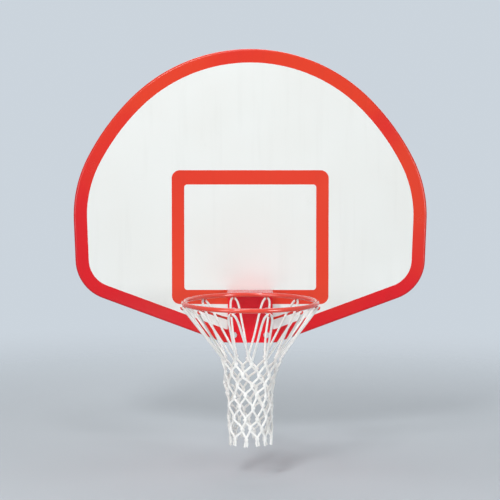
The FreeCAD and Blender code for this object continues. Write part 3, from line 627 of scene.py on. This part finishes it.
def bead(shape, middle, axis, start, bead_radius, turn):
    """Spin a bead about an axis through middle, from start, through an angle; ripple it along its run."""
    spoke = start - middle
    heading = axis.cross(spoke).normalized()
    circle = bmesh.ops.create_circle(shape, cap_ends=False, segments=PROFILE_SIDES, radius=bead_radius)
    profile = circle["verts"]
    lay = heading.to_track_quat("Z", "Y").to_matrix().to_4x4()
    bmesh.ops.transform(shape, matrix=Matrix.Translation(start) @ lay, verts=profile)
    steps = max(FEWEST_STEPS, round(spoke.length * turn / (RIPPLE_LENGTH / RIPPLE_STEPS)))
    before = set(shape.verts) - set(profile)
    profile_edges = list({edge for vert in profile for edge in vert.link_edges})
    bmesh.ops.spin(shape, geom=list(profile) + profile_edges, cent=middle, axis=axis,
                   angle=turn, steps=steps, use_merge=turn >= FULL_TURN)
    laid = [vert for vert in shape.verts if vert not in before]
    for vert in laid:
        arm = vert.co - middle
        level = arm - axis * arm.dot(axis)
        angle = math.atan2(axis.dot(spoke.cross(level)), spoke.dot(level)) % FULL_TURN
        core = middle + Matrix.Rotation(angle, 3, axis) @ spoke
        phase = (angle * spoke.length / RIPPLE_LENGTH) % 1.0
        vert.co = core + (vert.co - core) * (1 + RIPPLE_DEPTH * (0.5 - phase))
    ends = [edge for edge in shape.edges if edge.is_boundary]
    if ends:
        bmesh.ops.holes_fill(shape, edges=ends, sides=0)


def bead_round(shape, middle, axis, radius, bead_radius):
    """A bead all the way round a bar."""
    start = middle + axis.orthogonal().normalized() * radius
    bead(shape, middle, axis, start, bead_radius, FULL_TURN)


print("ripples of a weld:", round(1000 * RIPPLE_LENGTH, 1), "mm long")

# %% [markdown]
# The ring lies in a round seat in the flange of the plate, so its two beads, one above and one below,
# are arcs about the ring's own middle. They stop a little short of the flange's corners, as a welder
# would stop.

# %% Weld beads: the ring's seat
BEAD_RADIUS = 0.0026
SEAT_SHARE = 0.97
UPWARDS = Vector((0, 0, 1))
ring_low, ring_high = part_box("ring")
rod_radius = (ring_high.z - ring_low.z) / 2
ring_radius = (ring_high.x - ring_low.x) / 2 - rod_radius
seat_radius = ring_radius + rod_radius
seat_turn = math.asin(plate_high.x / seat_radius) * SEAT_SHARE
flange_half = plate_high.z - ring_middle.z
welds = bmesh.new()
for level in (-flange_half, flange_half):
    middle = ring_middle + UPWARDS * level
    end = middle + seat_radius * Vector((math.sin(seat_turn), math.cos(seat_turn), 0))
    bead(welds, middle, UPWARDS, end, BEAD_RADIUS, 2 * seat_turn)
print("seat of the ring:", round(2000 * seat_radius), "mm across")

# %% [markdown]
# A brace has a bead round each end, one on the plate and one under the ring, and each hook has a fine
# one at its stem. The ends of the braces are found on their own meshes, from the corners that lie
# furthest to the front and to the back.

# %% Weld beads: braces and hooks
BRACE_RADIUS = 0.00475
END_CORNERS = 24
HOOKS = 12
HOOK_WIRE = 0.005
HOOK_BEAD = 0.0013
WELD_CRISP = 40
TO_BACK = Vector((0, 1, 0))
TO_FRONT = Vector((0, -1, 0))


def end_middle(node, towards):
    """Middle of the end of a bar that lies furthest in a direction, and the bar's own direction there."""
    corners = [vert.co for vert in nodes[node].data.vertices]
    ordered = sorted(corners, key=lambda corner: corner.dot(towards))
    far_middle = sum(ordered[-END_CORNERS:], Vector()) / END_CORNERS
    near_middle = sum(ordered[:END_CORNERS], Vector()) / END_CORNERS
    return far_middle, (far_middle - near_middle).normalized()


for node in ("left_brace", "right_brace"):
    foot = end_middle(node, TO_BACK)[0]
    bead_round(welds, foot, TO_BACK, BRACE_RADIUS, BEAD_RADIUS)
    top, heading = end_middle(node, TO_FRONT)
    bead_round(welds, top, heading, BRACE_RADIUS, BEAD_RADIUS)
for number in range(HOOKS):
    turn = FULL_TURN * (number + 0.5) / HOOKS
    stem = ring_middle + Vector((ring_radius * math.cos(turn), ring_radius * math.sin(turn), -rod_radius))
    bead_round(welds, stem, UPWARDS, HOOK_WIRE / 2, HOOK_BEAD)
bmesh.ops.recalc_face_normals(welds, faces=welds.faces)
weld_beads = finish_piece("weld_beads", welds, lit_ring_enamel)
smooth_by_angle(weld_beads, WELD_CRISP)

# %% [markdown]
# The net is knotted from braided white cord, about 8 mm thick with its braid. Twelve long loops hang
# over the hooks, and below them eight rows of knots make a tube of diamonds that ends in short tails.
# The places of the knots come first, because the cords run between them. The knots of a used net are
# never in line: they bunch together on two opposite sides and hang lower at the back, and a seeded draw
# moves each one by a few millimetres more.

# %% Net: places of the knots
ROWS = 8
CORD_DIAMETER = 0.0082
KNOT_SIZE = 0.017
ROW_DROP = 0.039
TOP_RADIUS = 0.103
END_RADIUS = 0.074
STRAY = 0.0056
BUNCHING = 0.0050
BUNCHED_SIDE = math.radians(-45)
FAR_SAG = 0.006
chance = random.Random(11)
step = FULL_TURN / HOOKS
first_row_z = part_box("net_mesh")[1].z - KNOT_SIZE / 2


def spoke_point(turn, radius, height):
    """A point round the ring's axis, at a height."""
    across = ring_middle.x + radius * math.cos(turn)
    deep = ring_middle.y + radius * math.sin(turn)
    return Vector((across, deep, height))


rows = []
for row in range(ROWS):
    upper_share = 1 - row / (ROWS - 1)
    radius = END_RADIUS + (TOP_RADIUS - END_RADIUS) * upper_share ** 2
    spots = []
    for number in range(HOOKS):
        even = step * (number + 0.5 * (row % 2))
        drift = -BUNCHING * math.sin(2 * (even - BUNCHED_SIDE)) + chance.uniform(-STRAY, STRAY)
        sag = FAR_SAG * math.sin(even) * upper_share
        height = first_row_z - row * ROW_DROP - sag + chance.uniform(-STRAY, STRAY)
        spots.append(spoke_point(even + drift / radius, radius + chance.uniform(-STRAY, STRAY), height))
    rows.append(spots)
print("knots:", sum(len(spots) for spots in rows), "first row at", round(first_row_z, 3))

# %% [markdown]
# Each length of cord is a smooth spline with a round section, turned into a mesh. A curve gives the
# cord its roundness and a UV map that runs along it, and the map is stretched to count lengths of
# braid, so that the pattern keeps its scale on short and long cords alike. All cords are gathered in
# one bmesh.

# %% Net: one length of cord
BRAID_PITCH = 0.008
SPLINE_ORDER = 4
cord_lengths = []
net = bmesh.new()
net.loops.layers.uv.new("UVMap")


def cord_mesh(points, radius, around, smoothness, closed=False):
    """A round cord along a spline, with a UV map; around=1 gives it six sides and around=2 eight."""
    curve = bpy.data.curves.new("cord", "CURVE")
    curve.dimensions = "3D"
    curve.bevel_depth = radius
    curve.bevel_resolution = around
    curve.use_fill_caps = not closed
    spline = curve.splines.new("NURBS")
    spline.points.add(len(points) - 1)
    for spline_point, place in zip(spline.points, points):
        spline_point.co = (*place, 1)
    spline.order_u = SPLINE_ORDER
    spline.use_endpoint_u = not closed
    spline.use_cyclic_u = closed
    spline.resolution_u = smoothness
    length = spline.calc_length()
    cord_lengths.append(length)
    holder = bpy.data.objects.new("cord", curve)
    scene.collection.objects.link(holder)
    shaped = holder.evaluated_get(bpy.context.evaluated_depsgraph_get())
    mesh = bpy.data.meshes.new_from_object(shaped)
    bpy.data.objects.remove(holder)
    bpy.data.curves.remove(curve)
    for corner in mesh.uv_layers[0].data:
        corner.uv.x *= length / BRAID_PITCH
    return mesh


def add_cord(points, around, smoothness):
    """Add one length of cord to the net."""
    mesh = cord_mesh(points, CORD_DIAMETER / 2, around, smoothness)
    net.from_mesh(mesh)
    bpy.data.meshes.remove(mesh)


print("the braid repeats every", round(1000 * BRAID_PITCH, 1), "mm")

# %% [markdown]
# Between the rows, each knot sends two strands down to its neighbours. A cord leaves a knot almost
# straight down and then curves away, so the openings are soft ovals and not sharp diamonds.

# %% Net: strands between the rows
KNOT_SHARE = 0.3
PULL = 0.32
SIDE_SHARE = 0.20
to_cord = Vector((0, 0, KNOT_SHARE * KNOT_SIZE))
for number, (upper_row, lower_row) in enumerate(zip(rows, rows[1:])):
    for spot, upper in enumerate(upper_row):
        for neighbour in (spot - 1 + number % 2, spot + number % 2):
            start = upper - to_cord
            end = lower_row[neighbour % HOOKS] + to_cord
            run = end - start
            bend = Vector((SIDE_SHARE * run.x, SIDE_SHARE * run.y, PULL * run.z))
            add_cord([start, start + bend, end - bend, end], around=2, smoothness=3)
print("net so far:", len(net.faces), "faces")

# %% [markdown]
# A loop rises from one knot of the first row, goes over a hook, and comes down to the next knot. It is
# narrow at the wire and widens as it hangs. Each loop sways a little to one side, because its two legs
# are never quite equal.

# %% Net: loops over the hooks
# share of the way down from the hook, and half the width there
LOOP_FORM = ((0.0, 0.005), (0.05, 0.0125), (0.17, 0.0175), (0.45, 0.0195), (0.75, 0.0225))
LOOP_RADIUS = 0.24355
LOOP_SAG = 0.0004
SWAY = 0.002
loop_top_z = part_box("net_loops")[1].z - CORD_DIAMETER / 2 + LOOP_SAG
for number in range(HOOKS):
    turn = step * (number + 0.5)
    along = Vector((-math.sin(turn), math.cos(turn), 0))
    top = spoke_point(turn, LOOP_RADIUS, loop_top_z)
    before = rows[0][number] + to_cord
    after = rows[0][(number + 1) % HOOKS] + to_cord
    low = (before + after) / 2
    sway = chance.uniform(-SWAY, SWAY)
    left = [top.lerp(low, share) + along * (sway * share - half) for share, half in LOOP_FORM]
    right = [top.lerp(low, share) + along * (sway * share + half) for share, half in LOOP_FORM]
    add_cord([before] + left[::-1] + right + [after], around=2, smoothness=4)
print("net so far:", len(net.faces), "faces")

# %% [markdown]
# A net knot is an overhand knot pulled tight. Its path is a trefoil, which is what an overhand knot
# becomes when its ends are joined, drawn small enough that the cord presses against itself, and with a
# cord that is a little thinner under that pull. One knot is made as a mesh and set at every crossing,
# turned to face out of the net and tipped at random.

# %% Net: knots
TREFOIL_POINTS = 15
TREFOIL_SIZE = 0.00178
TREFOIL_DEPTH = 1.4
KNOT_CORD_SHARE = 0.46
KNOT_STRETCH = 1.12
LARGEST_TIP = 0.5
trefoil = []
for number in range(TREFOIL_POINTS):
    turn = FULL_TURN * number / TREFOIL_POINTS
    across = math.sin(turn) + 2 * math.sin(2 * turn)
    up = math.cos(turn) - 2 * math.cos(2 * turn)
    trefoil.append(Vector((across, -TREFOIL_DEPTH * math.sin(3 * turn), up)) * TREFOIL_SIZE)
knot = cord_mesh(trefoil, KNOT_CORD_SHARE * CORD_DIAMETER, around=1, smoothness=2, closed=True)
stretch = Matrix.Diagonal((1, 1, KNOT_STRETCH, 1))
for spots in rows:
    for spot in spots:
        outward = math.atan2(spot.y - ring_middle.y, spot.x - ring_middle.x)
        tip = chance.uniform(-LARGEST_TIP, LARGEST_TIP)
        turned = Matrix.Rotation(outward + math.pi / 2, 4, "Z") @ Matrix.Rotation(tip, 4, "Y")
        first = len(net.verts)
        net.from_mesh(knot)
        net.verts.ensure_lookup_table()
        set_down = Matrix.Translation(spot) @ turned @ stretch
        bmesh.ops.transform(net, matrix=set_down, verts=net.verts[first:])
bpy.data.meshes.remove(knot)
print("net so far:", len(net.faces), "faces")

# %% [markdown]
# Below the last row, two cut ends of cord hang from each knot. They part, lean the same way, and differ
# a little in length.

# %% Net: tails
TAIL_DROP = 0.025
SHORTEST_TAIL = 0.86
TAIL_GAP = 0.0040
START_SHARE = 0.5
LARGEST_LEAN = 0.004
# share of the gap, share of the lean, and share of the drop
TAIL_FORM = ((1.3, 0.0, 0.55), (1.1, 0.6, 0.8), (1.0, 1.0, 1.0))
for spot in rows[-1]:
    outward = spot - ring_middle
    outward.z = 0
    along = outward.normalized().cross(UPWARDS)
    lean = chance.uniform(-LARGEST_LEAN, LARGEST_LEAN)
    for side in (-1, 1):
        drop = TAIL_DROP * chance.uniform(SHORTEST_TAIL, 1.0)
        route = [spot + along * (side * START_SHARE * TAIL_GAP) - to_cord]
        for apart, leaning, fall in TAIL_FORM:
            aside = along * (side * apart * TAIL_GAP + leaning * lean)
            route.append(spot + aside - UPWARDS * (fall * drop))
        add_cord(route, around=1, smoothness=2)
print("net:", len(net.faces), "faces")
print("cord in loops, strands, tails and one knot:", round(sum(cord_lengths), 1), "m")

# %% [markdown]
# Braided cord shows a herringbone of small strands, each passing over and under the others. On the UV
# map two sets of slanted strands cross. A checker of the two says which one is on top, and the rounded
# profile of that one is the height. The grooves between strands are darkened with painted shade, in a
# warm dirty tone.

# %% Cord
STRANDS_AROUND = 4
BRAID_SLANT = 2.0
MID_CELL = 0.5
FUZZ_SCALE = 1500
FUZZ_SHARE = 0.35
STAIN_SCALE = 38
STAIN_LIMITS = (0.45, 0.8)
GROOVE_SHADE_LIMITS = (0.55, 0.1)
GROOVE_SHADE_SHARE = 0.30
BRAID_STRENGTH = 0.55
BRAID_DEPTH = 0.0008
FIBRE_ROUGHNESS = 0.85
FUZZ_SHEEN = 0.6
FUZZ_SHEEN_ROUGHNESS = 0.4


def strand_profile(tree, value):
    """A rounded ridge for each whole step of the value."""
    wave = calculate(tree, "SINE", calculate(tree, "MULTIPLY", value, math.pi))
    return calculate(tree, "ABSOLUTE", wave)


cord_white = new_material("net_cord")
tree = cord_white.node_tree
chart = add_node(tree, "ShaderNodeUVMap", uv_map="UVMap").outputs[0]
chart_axes = add_node(tree, "ShaderNodeSeparateXYZ", {0: chart}).outputs
around = calculate(tree, "MULTIPLY", chart_axes["Y"], STRANDS_AROUND)
slanted = calculate(tree, "MULTIPLY", chart_axes["X"], BRAID_SLANT)
rising = calculate(tree, "ADD", around, slanted)
falling = calculate(tree, "SUBTRACT", around, slanted)
cells = add_node(tree, "ShaderNodeCombineXYZ", {0: rising, 1: falling, 2: MID_CELL}).outputs[0]
over = add_node(tree, "ShaderNodeTexChecker", {"Vector": cells, "Scale": 1.0}).outputs["Fac"]
ridges = {0: over, 2: strand_profile(tree, rising), 3: strand_profile(tree, falling)}
plait = add_node(tree, "ShaderNodeMix", ridges).outputs[0]
place = object_place(tree)
fuzz = noise(tree, place, FUZZ_SCALE, detail=2.0)
stain = noise(tree, place, STAIN_SCALE, detail=4.0)
groove_shade = calculate(tree, "MULTIPLY", ramp(tree, plait, *GROOVE_SHADE_LIMITS), GROOVE_SHADE_SHARE)
clean = blend_colour(tree, ramp(tree, stain, *STAIN_LIMITS), screen(254, 254, 252), screen(248, 247, 242))
# the grooves of the braid take a darker, warm tone: painted shade
shaded = blend_colour(tree, groove_shade, clean, screen(206, 201, 190))
relief = calculate(tree, "ADD", plait, calculate(tree, "MULTIPLY", fuzz, FUZZ_SHARE))
bump = add_node(tree, "ShaderNodeBump", {
    "Strength": BRAID_STRENGTH, "Distance": BRAID_DEPTH, "Height": relief})
fibre = add_node(tree, "ShaderNodeBsdfPrincipled", {
    "Base Color": shaded, "Roughness": FIBRE_ROUGHNESS, "Normal": bump.outputs["Normal"],
    "Sheen Weight": FUZZ_SHEEN, "Sheen Roughness": FUZZ_SHEEN_ROUGHNESS})
add_node(tree, "ShaderNodeOutputMaterial", {"Surface": fibre.outputs["BSDF"]})
print(f"{cord_white.name}: {len(tree.nodes)} nodes")

# %% [markdown]
# The net swings, but its loops stay on the hooks. Here it is one piece that rides on no body, and it
# stands in for the plain loops and the plain mesh of the construction, which are hidden.

# %% Hang the net
CORD_CRISP = 75
cord_net = finish_piece("cord_net", net, cord_white, body=None)
smooth_by_angle(cord_net, CORD_CRISP)
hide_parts("net_loops", "net_mesh")
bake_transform(cord_net)

# %% [markdown]
# Last, the size of the finished piece is set beside the size of the construction, so that it can be
# seen that paint, welds and cord haven't made the board larger.

# %% Compare sizes and finish
visual_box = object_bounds()
for name, (low, high) in (("construction", cad_box), ("finished", visual_box)):
    print(name, [round(side, 4) for side in Vector(high) - Vector(low)])
